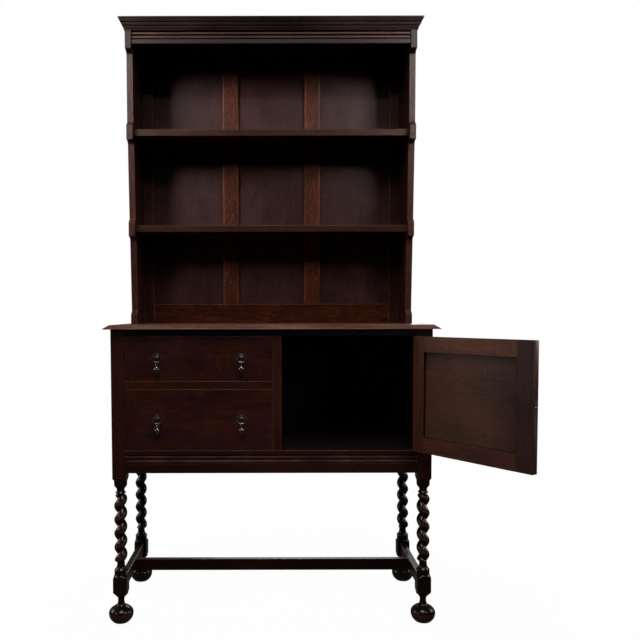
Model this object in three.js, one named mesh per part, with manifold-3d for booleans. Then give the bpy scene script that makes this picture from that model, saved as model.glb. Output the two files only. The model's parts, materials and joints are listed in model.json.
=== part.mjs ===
import * as THREE from 'three';
import Module from 'manifold-3d';
import { mergeVertices } from 'three/addons/utils/BufferGeometryUtils.js';

const wasm = await Module();
wasm.setup();

// All lengths are in millimetres, X to the right, Y to the back, Z up.
// Case: X is zero at its middle, Y at the front faces of its posts, Z on the floor.
const caseWidth = 960;
const postSize = 42;
const legSpacing = 345; // axis of a front leg to axis of the back leg

// Leg, its sections from the floor up
const bunHeight = 56;
const bunRadius = 37.5;
const ankleHeight = 40;
const ankleRadius = 9.5;
const blockHeight = 45;
const drumHeight = 42;
const drumRadius = 18.75;
const twistHeight = 213;
const twistTurns = 5;
const twistRadius = 14.75;
const twistOffset = 5;
const twistEndRadius = 10.3;
const cushionHeight = 44;
const cushionRadius = 19.5;
const postFoot = 21.5; // plain post below the bottom rail
const ringSides = 12;
const stepsPerTurn = 8;

// Rows of the turned outlines: share of the section's height, share of the way out
const bunShares = [
  [0, 0.61], [0.09, 0.76], [0.25, 0.92], [0.5, 1], [0.7, 0.86], [0.82, 0.64], [0.89, 0.45], [1, 0.3],
];
const ankleShares = [[0.3, 0], [0.48, 0.06], [0.7, 0.33], [0.86, 0.68], [1, 1]];
const drumShares = [
  [0.06, 1.12], [0.1, 1.04], [0.15, 0.92], [0.19, 1.02], [0.31, 1.02], [0.34, 0.92], [0.38, 1],
  [0.52, 1], [0.6, 0.82], [0.72, 0.65], [0.88, 0.61],
];
const cushionShares = [
  [0.1, 0.54], [0.3, 0.54], [0.38, 0.63], [0.49, 0.85], [0.6, 0.965], [0.89, 0.99], [0.95, 1.1],
];
const shoulderShare = 0.06; // turned shoulder at a square's end, of the section beside it
const twistEaseShare = 0.04; // part of the twist over which it starts and fades
const leftPhaseShare = 0.42; // where round the leg the left twists start
const backPhaseShare = 0.25;

// Front frame of the case
const railThickness = 22;
const topRailHeight = 20;
const upperOpening = 135;
const dividerHeight = 23;
const lowerOpening = 186;
const bottomRailHeight = 68.5;
const stileWidth = 23;
const drawerOpeningShare = 0.4625; // of the case's width
const reedShares = [0.45, 0.626, 0.782]; // groove heights on the bottom rail
const reedHalfWidth = 2.5;
const reedDepth = 3;

// Inside of the case and its closing boards
const endPanelThickness = 12;
const endPanelInset = 6;
const backBoardThickness = 8;
const backBoardInset = 4;
const floorThickness = 14;
const dustBoardThickness = 8;
const partitionThickness = 12;

// Stretchers
const stretcherThickness = 20;
const stretcherHeight = 37;
const stretcherLift = 3; // above the lower corners of the leg's block

// Table top
const topOverhang = 20;
const topThickness = 13;
const topLand = 2;
const topBevelWidth = 17;

// Drawers
const drawerGap = 1.25;
const drawerRun = 0.3; // sides above the board that carries them
const drawerFrontThickness = 20;
const drawerBackGap = 15; // behind a drawer, before the back board
const drawerBoard = 10;
const drawerSideDrop = 14; // sides lower than the front
const drawerBottomThickness = 5;
const drawerBottomLift = 8;
const handleInset = 95; // handle's middle in from the drawer front's end
const handleLift = 2.5; // and above its middle

// Door, closed size; it stands open by doorOpenDeg
const doorOpenDeg = 126;
const doorHingeGap = 1.5;
const doorLockGap = 2.25;
const doorEndGap = 1.5;
const doorThickness = 20;
const hingeStileWidth = 41;
const lockStileWidth = 49;
const doorTopRail = 45;
const doorBottomRail = 47;
const doorPanelThickness = 6;
const doorPanelRecess = 9; // panel's face behind the frame's inner face
const doorTongue = 8;
const jointGap = 0.3;

// Butt hinges
const hingeHeight = 50;
const hingeInset = 48; // from the door's end to the leaf
const hingeLeafWidth = 17;
const hingeLeaf = 1.2;
const hingeProud = 0.3;
const knuckleRadius = 3;
const knuckleLength = 15;
const hingePinRadius = 1.5;
const hingeForward = 3.2; // pin axis ahead of the door's face
const roundSides = 16;

// Catch plate let into the door's free edge
const catchWidth = 12;
const catchHeight = 42;
const catchThickness = 1;

// Pear drop handle
const plateWidth = 38;
const plateHeight = 33;
const plateThickness = 1.6;
const plateLobes = 6;
const plateLobeShare = 0.1;
const plateSteps = 24;
const handleSides = 12;
const bossRadius = 8;
const bossHeight = 4.5;
const dropPivotLow = 13; // below the plate's middle
const dropPivotOut = 10.5; // ahead of the face that the plate is on
const lugWidth = 11.5;
const lugRadius = 2.6;
const lugRoot = 5;
const eyeWidth = 6;
const eyeRadius = 3.2;
const pinRadius = 1.3;
const dropLength = 38;
const dropWidth = 17.5;
const dropDepthShare = 0.74;
const dropShares = [
  [0, 0], [0, 0.26], [0.12, 0.24], [0.17, 0.4], [0.22, 0.4], [0.26, 0.34], [0.34, 0.6], [0.42, 0.88],
  [0.52, 1], [0.62, 0.96], [0.74, 0.74], [0.86, 0.44], [0.95, 0.3], [1, 0],
];

// Plate rack, heights above the table top and depths forward from its back
const rackWidth = 920;
const rackSide = 20;
const shelfThickness = 21;
const lowerCompartment = 298;
const middleCompartment = 282.5;
const upperCompartment = 260;
const footDepth = 169;
const lowerBumpDepth = 191;
const upperBumpDepth = 211;
const headDepth = 218;
const lowerShelfDepth = 174;
const upperShelfDepth = 191;
const footBlock = 28;
const bumpBelow = 15; // flat of the bump below the shelf's underside
const bumpAbove = 27;
const waistAbove = 17; // how far the outline falls back above a bump
const waistBelow = 24; // and below one
const sweepAbove = 18;
const sweepBelow = 13;
const sweepAboveShares = [[0.2, 0.06], [0.42, 0.3], [0.62, 0.72], [0.82, 0.94]];
const sweepBelowShares = [[0.35, 0.12], [0.7, 0.42], [0.92, 0.86]];

// Frieze and cornice
const friezeHeight = 40;
const friezeThickness = 15;
const friezeSet = 4; // behind the fronts of the sides
const friezeShares = [0.3825, 0.655, 0.915];
const friezeHalfWidth = 2;
const friezeGroove = 3;
const corniceHeight = 38;
const corniceSideReach = 18.5;
const corniceFrontReach = 14.5;
const corniceShares = [
  [0, 0], [0.11, 0.09], [0.12, 0.03], [0.19, 0.08], [0.2, 0.19], [0.46, 0.45], [0.47, 0.37],
  [0.54, 0.43], [0.55, 0.54], [0.76, 0.8], [0.77, 0.74], [0.8, 0.78], [0.81, 0.86], [0.89, 1], [1, 1],
];

// Framed back of the rack
const rackBackBoard = 7;
const rackFrame = 14;
const rackStile = 35;
const rackMuntin = 56;
const rackMuntinFromMiddle = 140;
const rackRail = 66;
const muntinBead = 6;
const muntinBeadDepth = 6;

// Places worked out from the sizes above
const halfCase = caseWidth / 2;
const halfPost = postSize / 2;
const caseDepth = legSpacing + postSize;
const innerPost = halfCase - postSize;
const blockLow = bunHeight + ankleHeight;
const blockTop = blockLow + blockHeight;
const twistLow = blockTop + drumHeight;
const twistTop = twistLow + twistHeight;
const postLow = twistTop + cushionHeight;
const railLow = postLow + postFoot;
const lowerOpeningLow = railLow + bottomRailHeight;
const dividerLow = lowerOpeningLow + lowerOpening;
const upperOpeningLow = dividerLow + dividerHeight;
const topRailLow = upperOpeningLow + upperOpening;
const caseTop = topRailLow + topRailHeight;
const stileLow = -innerPost + caseWidth * drawerOpeningShare;
const stileHigh = stileLow + stileWidth;
const boardBack = caseDepth - backBoardInset - backBoardThickness;
const drawerLength = boardBack - drawerBackGap;
const partitionX = (stileLow + stileHigh) / 2;
const tableTop = caseTop + topThickness;

// Colours and surfaces
const finishes = {
  oak: { color: '#38201a', roughness: 0.42, metalness: 0 },
  oakInside: { color: '#2a1712', roughness: 0.6, metalness: 0 },
  oakPanel: { color: '#422420', roughness: 0.45, metalness: 0 },
  oakTop: { color: '#4a302a', roughness: 0.35, metalness: 0 },
  drawerLining: { color: '#5a3f2c', roughness: 0.7, metalness: 0 },
  brass: { color: '#4a4038', roughness: 0.4, metalness: 0.85 },
  hingeBrass: { color: '#6e5a38', roughness: 0.45, metalness: 0.85 },
};

const dresser = new THREE.Group();

function addMesh(parent, name, finish, geometry) {
  const mesh = new THREE.Mesh(geometry, new THREE.MeshStandardMaterial(finishes[finish]));
  mesh.name = name;
  parent.add(mesh);
  return mesh;
}

// A board between two opposite corners
function addBoard(parent, name, finish, low, high) {
  const size = high.map((value, axis) => value - low[axis]);
  const mesh = addMesh(parent, name, finish, new THREE.BoxGeometry(size[0], size[1], size[2]));
  mesh.position.set(low[0] + size[0] / 2, low[1] + size[1] / 2, low[2] + size[2] / 2);
  return mesh;
}

// A box as a geometry in place, for cuts and joins
function boxBetween(low, high) {
  const size = high.map((value, axis) => value - low[axis]);
  const box = new THREE.BoxGeometry(size[0], size[1], size[2]);
  return box.translate(low[0] + size[0] / 2, low[1] + size[1] / 2, low[2] + size[2] / 2);
}

function extrude(points, length) {
  const shape = new THREE.Shape(points.map(([across, up]) => new THREE.Vector2(across, up)));
  return new THREE.ExtrudeGeometry(shape, { depth: length, bevelEnabled: false });
}

// Outline in Y and Z, drawn out along X
function alongX(points, length) {
  const turn = new THREE.Matrix4().makeBasis(
    new THREE.Vector3(0, 1, 0),
    new THREE.Vector3(0, 0, 1),
    new THREE.Vector3(1, 0, 0),
  );
  return extrude(points, length).applyMatrix4(turn);
}

function toSolid(geometry) {
  const plain = geometry.clone();
  plain.deleteAttribute('normal');
  plain.deleteAttribute('uv');
  const merged = mergeVertices(plain);
  return new wasm.Manifold(new wasm.Mesh({
    numProp: 3,
    vertProperties: new Float32Array(merged.attributes.position.array),
    triVerts: new Uint32Array(merged.index.array),
  }));
}

function toGeometry(solid) {
  const mesh = solid.getMesh();
  const geometry = new THREE.BufferGeometry();
  geometry.setAttribute('position', new THREE.BufferAttribute(mesh.vertProperties, 3));
  geometry.setIndex(new THREE.BufferAttribute(mesh.triVerts, 1));
  geometry.computeVertexNormals();
  return geometry;
}

// Rings of equal count, from the lowest up, each counter-clockwise from above
function loft(rings) {
  const sides = rings[0].length;
  const faces = [];
  for (let row = 0; row + 1 < rings.length; row += 1) {
    for (let side = 0; side < sides; side += 1) {
      const here = row * sides + side;
      const next = row * sides + ((side + 1) % sides);
      faces.push(here, next, next + sides, here, next + sides, here + sides);
    }
  }
  const last = (rings.length - 1) * sides;
  for (let side = 1; side + 1 < sides; side += 1) {
    faces.push(0, side + 1, side, last, last + side, last + side + 1);
  }
  const geometry = new THREE.BufferGeometry();
  geometry.setAttribute('position', new THREE.Float32BufferAttribute(rings.flat(2), 3));
  geometry.setIndex(faces);
  geometry.computeVertexNormals();
  return geometry;
}

// Legs: square stock turned, twisted and left square where rails and stretchers join
const cornerRadius = halfPost * Math.SQRT2;

function legRows() {
  const rows = [];
  const turned = (base, height, shares, inner, outer) => {
    for (const [up, out] of shares) {
      rows.push({ z: base + up * height, radius: inner + (outer - inner) * out, shift: 0, turn: 0 });
    }
  };
  turned(0, bunHeight, bunShares, 0, bunRadius);
  turned(bunHeight, ankleHeight, ankleShares, ankleRadius, cornerRadius);
  turned(blockTop - shoulderShare * drumHeight, drumHeight, [[0, 1]], 0, cornerRadius);
  turned(blockTop, drumHeight, drumShares, 0, drumRadius);
  const steps = Math.round(twistTurns * stepsPerTurn);
  for (let step = 0; step <= steps; step += 1) {
    const share = step / steps;
    const ease = Math.min(1, share / twistEaseShare, (1 - share) / twistEaseShare);
    rows.push({
      z: twistLow + share * twistHeight,
      radius: twistEndRadius + (twistRadius - twistEndRadius) * ease,
      shift: twistOffset * ease,
      turn: share * twistTurns,
    });
  }
  turned(twistTop, cushionHeight, cushionShares, 0, cushionRadius);
  turned(postLow + shoulderShare * cushionHeight, cushionHeight, [[0, 1]], 0, cornerRadius);
  turned(caseTop, cushionHeight, [[0, 1]], 0, cornerRadius);
  return rows;
}

// hand is 1 for a twist that rises to the right on the front, -1 for its mirror image
function legGeometry(hand, phaseShare) {
  const rings = legRows().map(({ z, radius, shift, turn }) => {
    const toward = 2 * Math.PI * (turn + phaseShare);
    const ring = [];
    for (let side = 0; side < ringSides; side += 1) {
      const angle = (2 * Math.PI * (side + 1 / 2)) / ringSides;
      const flat = halfPost / Math.max(Math.abs(Math.cos(angle)), Math.abs(Math.sin(angle)));
      const round = radius / Math.cos(Math.PI / ringSides);
      const reach = z < bunHeight ? round : Math.min(round, flat);
      ring.push([
        reach * Math.cos(angle) + hand * shift * Math.cos(toward),
        reach * Math.sin(angle) + shift * Math.sin(toward),
        z,
      ]);
    }
    return ring;
  });
  return loft(rings);
}

// Door and hinge places, used by the post that carries the door
const pivotX = innerPost - doorHingeGap / 2;
const doorLow = lowerOpeningLow + doorEndGap;
const doorHigh = topRailLow - doorEndGap;
const doorWidth = innerPost - stileHigh - doorHingeGap - doorLockGap;
const hingeLows = [doorLow + hingeInset, doorHigh - hingeInset - hingeHeight];
const leafNear = doorHingeGap / 2 - hingeProud;
const leafFar = leafNear + hingeLeaf;
const leafEnd = hingeForward + hingeLeafWidth;

// Room for one leaf, on the side of the pin that hand names
function leafRecess(hand, low) {
  const xs = [hand * (leafNear - hingeProud), hand * (leafFar + jointGap)];
  return boxBetween(
    [Math.min(...xs), 0, low - jointGap],
    [Math.max(...xs), leafEnd + jointGap, low + hingeHeight + jointGap],
  );
}

for (const [sideName, side] of [['left', -1], ['right', 1]]) {
  for (const [endName, end] of [['front', 0], ['back', 1]]) {
    let geometry = legGeometry(-side, leftPhaseShare + end * backPhaseShare);
    const axisX = side * (halfCase - halfPost);
    const axisY = halfPost + end * legSpacing;
    if (side > 0 && end === 0) {
      let solid = toSolid(geometry);
      for (const low of hingeLows) {
        const recess = leafRecess(1, low).translate(pivotX - axisX, -hingeForward - axisY, 0);
        solid = solid.subtract(toSolid(recess));
      }
      geometry = toGeometry(solid);
    }
    const leg = addMesh(dresser, `leg_${endName}_${sideName}`, 'oak', geometry);
    leg.position.set(axisX, axisY, 0);
  }
}

// Stretchers between the leg blocks
const stretcherLow = blockLow + stretcherLift;
const sideStretcherX = halfCase - halfPost;
for (const [sideName, side] of [['left', -1], ['right', 1]]) {
  addBoard(
    dresser, `stretcher_${sideName}`, 'oak',
    [side * sideStretcherX - stretcherThickness / 2, postSize, stretcherLow],
    [side * sideStretcherX + stretcherThickness / 2, legSpacing, stretcherLow + stretcherHeight],
  );
}
const crossEnd = sideStretcherX - stretcherThickness / 2;
addBoard(
  dresser, 'stretcher_cross', 'oak',
  [-crossEnd, caseDepth / 2 - stretcherThickness / 2, stretcherLow],
  [crossEnd, caseDepth / 2 + stretcherThickness / 2, stretcherLow + stretcherHeight],
);

// Front frame
addBoard(dresser, 'rail_top', 'oak', [-innerPost, 0, topRailLow], [innerPost, railThickness, caseTop]);
addBoard(
  dresser, 'rail_divider', 'oak',
  [-innerPost, 0, dividerLow],
  [stileLow, railThickness, upperOpeningLow],
);
addBoard(
  dresser, 'stile_centre', 'oak',
  [stileLow, 0, lowerOpeningLow],
  [stileHigh, railThickness, topRailLow],
);

// A rail's section with V grooves cut in its face
function groovedSection(height, thickness, shares, halfWidth, depth) {
  const points = [[thickness, height], [thickness, 0], [0, 0]];
  for (const share of shares) {
    const middle = share * height;
    points.push([0, middle - halfWidth], [depth, middle], [0, middle + halfWidth]);
  }
  points.push([0, height]);
  return points.reverse();
}

const bottomSection = groovedSection(bottomRailHeight, railThickness, reedShares, reedHalfWidth, reedDepth);
const bottomRail = addMesh(dresser, 'rail_bottom', 'oak', alongX(bottomSection, innerPost * 2));
bottomRail.position.set(-innerPost, 0, railLow);

// End panels, back board, partition
const endOuter = halfCase - endPanelInset;
const endInner = endOuter - endPanelThickness;
for (const [sideName, side] of [['left', -1], ['right', 1]]) {
  const xs = [side * endInner, side * endOuter];
  addBoard(
    dresser, `end_panel_${sideName}`, 'oak',
    [Math.min(...xs), postSize, railLow],
    [Math.max(...xs), legSpacing, caseTop],
  );
}
addBoard(
  dresser, 'case_back', 'oakInside',
  [-innerPost, boardBack, railLow],
  [innerPost, boardBack + backBoardThickness, caseTop],
);
addBoard(
  dresser, 'partition', 'oakInside',
  [partitionX - partitionThickness / 2, railThickness, lowerOpeningLow],
  [partitionX + partitionThickness / 2, boardBack, caseTop],
);

// A level board notched round the posts at its outer ends
function notchedOutline(left, right) {
  const outline = [];
  const corner = (x, y) => outline.push([x, y]);
  if (right > innerPost) {
    corner(innerPost, railThickness);
    corner(innerPost, postSize);
    corner(right, postSize);
    corner(right, legSpacing);
    corner(innerPost, legSpacing);
    corner(innerPost, boardBack);
  } else {
    corner(right, railThickness);
    corner(right, boardBack);
  }
  corner(-innerPost, boardBack);
  corner(-innerPost, legSpacing);
  corner(left, legSpacing);
  corner(left, postSize);
  corner(-innerPost, postSize);
  corner(-innerPost, railThickness);
  return outline;
}

const floorBoard = extrude(notchedOutline(-endInner, endInner), floorThickness);
addMesh(dresser, 'case_floor', 'oakInside', floorBoard).position.z = lowerOpeningLow - floorThickness;
const dustBoard = extrude(notchedOutline(-endInner, partitionX - partitionThickness / 2), dustBoardThickness);
addMesh(dresser, 'dust_board', 'oakInside', dustBoard).position.z = upperOpeningLow - dustBoardThickness;

// Rectangle between X limits of plus and minus halfWidth
function levelRing(halfWidth, front, back, z) {
  return [[-halfWidth, front, z], [halfWidth, front, z], [halfWidth, back, z], [-halfWidth, back, z]];
}

// Table top, bevelled along the front and both ends
const topHalf = halfCase + topOverhang;
addMesh(dresser, 'table_top', 'oakTop', loft([
  levelRing(topHalf, -topOverhang, caseDepth, caseTop),
  levelRing(topHalf, -topOverhang, caseDepth, caseTop + topLand),
  levelRing(topHalf - topBevelWidth, topBevelWidth - topOverhang, caseDepth, tableTop),
]));

// Handle: scalloped plate with a boss, two lugs and their pin, and the pear drop on the pin
function roundBar(radius, length) {
  const bar = new THREE.CylinderGeometry(radius, radius, length, handleSides);
  return bar.rotateZ(Math.PI / 2);
}

function platedGeometry() {
  const outline = [];
  for (let step = 0; step < plateSteps; step += 1) {
    const angle = (2 * Math.PI * step) / plateSteps;
    const swell = 1 - plateLobeShare * Math.abs(Math.sin((plateLobes * angle) / 2));
    outline.push([
      (plateWidth / 2) * swell * Math.cos(angle),
      (plateHeight / 2) * swell * Math.sin(angle),
    ]);
  }
  const disc = extrude(outline, plateThickness).rotateX(Math.PI / 2);
  const bossPoints = [new THREE.Vector2(0, 0)];
  const bossSteps = plateLobes - 1;
  for (let step = 0; step <= bossSteps; step += 1) {
    const angle = (step / bossSteps) * (Math.PI / 2);
    bossPoints.push(new THREE.Vector2(
      step === bossSteps ? 0 : bossRadius * Math.cos(angle),
      plateThickness + bossHeight * Math.sin(angle),
    ));
  }
  const boss = new THREE.LatheGeometry(bossPoints, handleSides).rotateZ(Math.PI);
  const halfLug = lugWidth / 2;
  const lug = boxBetween(
    [-halfLug, -dropPivotOut, -dropPivotLow - lugRadius],
    [halfLug, -plateThickness / 2, -dropPivotLow + lugRadius],
  );
  const nose = roundBar(lugRadius, lugWidth).translate(0, -dropPivotOut, -dropPivotLow);
  const slotHalf = eyeWidth / 2 + jointGap;
  const slot = boxBetween(
    [-slotHalf, -dropPivotOut - lugRadius - jointGap, -dropPivotLow - lugRadius - jointGap],
    [slotHalf, -lugRoot, -dropPivotLow + lugRadius + jointGap],
  );
  const pin = roundBar(pinRadius, lugWidth - plateThickness).translate(0, -dropPivotOut, -dropPivotLow);
  const body = toSolid(disc).add(toSolid(boss)).add(toSolid(lug)).add(toSolid(nose));
  return toGeometry(body.subtract(toSolid(slot)).add(toSolid(pin)));
}

function dropGeometry() {
  const profile = dropShares.map(([down, out]) => new THREE.Vector2(
    (out * dropWidth) / 2,
    -pinRadius - jointGap * 2 - down * (dropLength - pinRadius - jointGap * 2),
  ));
  const pear = new THREE.LatheGeometry(profile.reverse(), ringSides).rotateX(Math.PI / 2);
  pear.scale(1, dropDepthShare, 1);
  const eye = roundBar(eyeRadius, eyeWidth);
  const bore = roundBar(pinRadius + jointGap, eyeWidth * 2);
  return toGeometry(toSolid(pear).add(toSolid(eye)).subtract(toSolid(bore)));
}

// Origin of the handle group: plate's middle, on the face that it is screwed to
function addHandle(parent, name, x, y, z) {
  const handle = new THREE.Group();
  handle.position.set(x, y, z);
  parent.add(handle);
  addMesh(handle, `${name}_plate`, 'brass', platedGeometry()).position.y = -jointGap;
  const drop = addMesh(handle, `${name}_drop`, 'brass', dropGeometry());
  drop.position.set(0, -dropPivotOut - jointGap, -dropPivotLow);
}

// Drawers, each a front with two sides, a back and a bottom let in between them
function addDrawer(name, openingLow, openingHeight) {
  const left = -innerPost + drawerGap;
  const right = stileLow - drawerGap;
  const low = openingLow + drawerGap;
  const high = openingLow + openingHeight - drawerGap;
  const sideLow = openingLow + drawerRun;
  const sideHigh = high - drawerSideDrop;
  const bottomLow = sideLow + drawerBottomLift;
  const bottomHigh = bottomLow + drawerBottomThickness;
  addBoard(dresser, `${name}_front`, 'oakPanel', [left, 0, low], [right, drawerFrontThickness, high]);
  addBoard(
    dresser, `${name}_side_left`, 'drawerLining',
    [left, drawerFrontThickness, sideLow],
    [left + drawerBoard, drawerLength, sideHigh],
  );
  addBoard(
    dresser, `${name}_side_right`, 'drawerLining',
    [right - drawerBoard, drawerFrontThickness, sideLow],
    [right, drawerLength, sideHigh],
  );
  addBoard(
    dresser, `${name}_bottom`, 'drawerLining',
    [left + drawerBoard, drawerFrontThickness, bottomLow],
    [right - drawerBoard, drawerLength, bottomHigh],
  );
  addBoard(
    dresser, `${name}_back`, 'drawerLining',
    [left + drawerBoard, drawerLength - drawerBoard, bottomHigh],
    [right - drawerBoard, drawerLength, sideHigh - drawerBoard],
  );
  const middle = (low + high) / 2 + handleLift;
  addHandle(dresser, `${name}_handle_left`, left + handleInset, 0, middle);
  addHandle(dresser, `${name}_handle_right`, right - handleInset, 0, middle);
}

addDrawer('drawer_upper', upperOpeningLow, upperOpening);
addDrawer('drawer_lower', lowerOpeningLow, lowerOpening);

// Door, built closed in a group whose origin is the hinge pin, then turned open
const door = new THREE.Group();
door.position.set(pivotX, -hingeForward, 0);
door.rotation.z = THREE.MathUtils.degToRad(doorOpenDeg);
dresser.add(door);

const doorFront = hingeForward;
const doorBack = doorFront + doorThickness;
const doorHinge = -doorHingeGap / 2;
const doorLock = doorHinge - doorWidth;
const panelHigh = doorBack - doorPanelRecess;
const panelLow = panelHigh - doorPanelThickness;
const grooveLow = panelLow - jointGap;
const grooveHigh = panelHigh + jointGap;

// Upright with a groove for the panel in the edge that faces inner
function stileGeometry(outer, inner) {
  const bed = inner + Math.sign(outer - inner) * doorTongue;
  const outline = [
    [outer, doorFront], [inner, doorFront], [inner, grooveLow], [bed, grooveLow],
    [bed, grooveHigh], [inner, grooveHigh], [inner, doorBack], [outer, doorBack],
  ];
  return extrude(outline, doorHigh - doorLow).translate(0, 0, doorLow);
}

let hingeStile = toSolid(stileGeometry(doorHinge, doorHinge - hingeStileWidth));
for (const low of hingeLows) {
  hingeStile = hingeStile.subtract(toSolid(leafRecess(-1, low)));
}
addMesh(door, 'door_stile_hinge', 'oak', toGeometry(hingeStile));

const catchMiddle = (doorLow + doorHigh) / 2;
const doorMiddleY = (doorFront + doorBack) / 2;
const catchRoom = boxBetween(
  [doorLock - catchThickness, doorMiddleY - catchWidth / 2 - jointGap, catchMiddle - catchHeight / 2 - jointGap],
  [
    doorLock + catchThickness + jointGap,
    doorMiddleY + catchWidth / 2 + jointGap,
    catchMiddle + catchHeight / 2 + jointGap,
  ],
);
const lockStile = toSolid(stileGeometry(doorLock, doorLock + lockStileWidth)).subtract(toSolid(catchRoom));
addMesh(door, 'door_stile_lock', 'oak', toGeometry(lockStile));
addBoard(
  door, 'door_catch', 'hingeBrass',
  [doorLock, doorMiddleY - catchWidth / 2, catchMiddle - catchHeight / 2],
  [doorLock + catchThickness, doorMiddleY + catchWidth / 2, catchMiddle + catchHeight / 2],
);

// Rails with a stub tongue at each end in the uprights' grooves
function addDoorRail(name, outer, inner) {
  const bed = inner + Math.sign(outer - inner) * doorTongue;
  const left = doorLock + lockStileWidth + jointGap;
  const right = doorHinge - hingeStileWidth - jointGap;
  const outline = [
    [doorFront, outer], [doorBack, outer], [doorBack, inner], [grooveHigh, inner],
    [grooveHigh, bed], [grooveLow, bed], [grooveLow, inner], [doorFront, inner],
  ];
  const bar = alongX(outline, right - left).translate(left, 0, 0);
  const tongue = doorTongue - jointGap;
  const ends = [Math.min(outer, bed), Math.max(outer, bed)];
  let rail = toSolid(bar);
  for (const [from, to] of [[left - tongue, left + tongue], [right - tongue, right + tongue]]) {
    rail = rail.add(toSolid(boxBetween([from, panelLow, ends[0]], [to, panelHigh, ends[1]])));
  }
  addMesh(door, name, 'oak', toGeometry(rail));
}

addDoorRail('door_rail_top', doorHigh, doorHigh - doorTopRail);
addDoorRail('door_rail_bottom', doorLow, doorLow + doorBottomRail);
const panelReach = doorTongue - jointGap;
addBoard(
  door, 'door_panel', 'oakPanel',
  [doorLock + lockStileWidth - panelReach, panelLow, doorLow + doorBottomRail - panelReach],
  [doorHinge - hingeStileWidth + panelReach, panelHigh, doorHigh - doorTopRail + panelReach],
);
addHandle(door, 'door_handle', doorLock + lockStileWidth / 2, doorFront, catchMiddle + handleLift);

// Butt hinges: the post's leaf holds the pin, the door's leaf turns on it
function leafPlate(hand) {
  const xs = [hand * leafNear, hand * leafFar];
  return { near: Math.min(...xs), far: Math.max(...xs) };
}

function knuckle(low, high) {
  const bar = new THREE.CylinderGeometry(knuckleRadius, knuckleRadius, high - low, roundSides);
  return bar.rotateX(Math.PI / 2).translate(0, 0, (low + high) / 2);
}

function leafGeometry(hand, spans) {
  const { near, far } = leafPlate(hand);
  const start = knuckleRadius + jointGap;
  let leaf = toSolid(boxBetween([near, start, 0], [far, leafEnd, hingeHeight]));
  for (const [low, high] of spans) {
    leaf = leaf.add(toSolid(boxBetween([near, 0, low], [far, start + hingeLeaf, high])));
    leaf = leaf.add(toSolid(knuckle(low, high)));
  }
  return leaf;
}

const middleLow = knuckleLength + jointGap;
const middleHigh = hingeHeight - knuckleLength - jointGap;
hingeLows.forEach((low, index) => {
  const name = index === 0 ? 'hinge_lower' : 'hinge_upper';
  const pin = new THREE.CylinderGeometry(hingePinRadius, hingePinRadius, hingeHeight, roundSides);
  pin.rotateX(Math.PI / 2).translate(0, 0, hingeHeight / 2);
  const outerSpans = [[0, knuckleLength], [hingeHeight - knuckleLength, hingeHeight]];
  const postLeaf = leafGeometry(1, outerSpans).add(toSolid(pin));
  const postMesh = addMesh(dresser, `${name}_post_leaf`, 'hingeBrass', toGeometry(postLeaf));
  postMesh.position.set(pivotX, -hingeForward, low);
  const boreRadius = hingePinRadius + jointGap;
  const bore = new THREE.CylinderGeometry(boreRadius, boreRadius, hingeHeight, roundSides);
  bore.rotateX(Math.PI / 2).translate(0, 0, hingeHeight / 2);
  const doorLeaf = leafGeometry(-1, [[middleLow, middleHigh]]).subtract(toSolid(bore));
  addMesh(door, `${name}_door_leaf`, 'hingeBrass', toGeometry(doorLeaf)).position.z = low;
});

// Plate rack, a group that stands on the table top with its back flush with the case
const rack = new THREE.Group();
rack.position.set(0, caseDepth, tableTop);
dresser.add(rack);

const lowerShelfLow = lowerCompartment;
const upperShelfLow = lowerShelfLow + shelfThickness + middleCompartment;
const friezeLow = upperShelfLow + shelfThickness + upperCompartment;
const rackTop = friezeLow + friezeHeight;
const rackInner = rackWidth / 2 - rackSide;

// Points between two places of the outline, in shares of the way
function sweep(from, to, shares) {
  return shares.map(([up, across]) => [
    from[0] + (to[0] - from[0]) * across,
    from[1] + (to[1] - from[1]) * up,
  ]);
}

// Front edge of a side, as [depth forward from the back, height]
function sideOutline() {
  const outline = [[footDepth, 0]];
  let depth = footDepth;
  let height = footBlock;
  const tiers = [
    [lowerBumpDepth, lowerShelfLow - bumpBelow, lowerShelfLow + bumpAbove],
    [upperBumpDepth, upperShelfLow - bumpBelow, upperShelfLow + bumpAbove],
    [headDepth, friezeLow - bumpBelow, rackTop],
  ];
  for (const [bump, low, high] of tiers) {
    const start = [depth, height];
    const waist = [depth - waistAbove, height + sweepAbove];
    const under = [bump - waistBelow, low - sweepBelow];
    const edge = [bump, low];
    outline.push(start, ...sweep(start, waist, sweepAboveShares), waist);
    outline.push(under, ...sweep(under, edge, sweepBelowShares), edge);
    depth = bump;
    height = high;
  }
  outline.push([headDepth, rackTop], [0, rackTop], [0, 0]);
  return outline.map(([forward, up]) => [-forward, up]).reverse();
}

for (const [sideName, side] of [['left', -1], ['right', 1]]) {
  const geometry = alongX(sideOutline(), rackSide);
  const mesh = addMesh(rack, `rack_side_${sideName}`, 'oak', geometry);
  mesh.position.x = side > 0 ? rackInner : -rackInner - rackSide;
}

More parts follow.
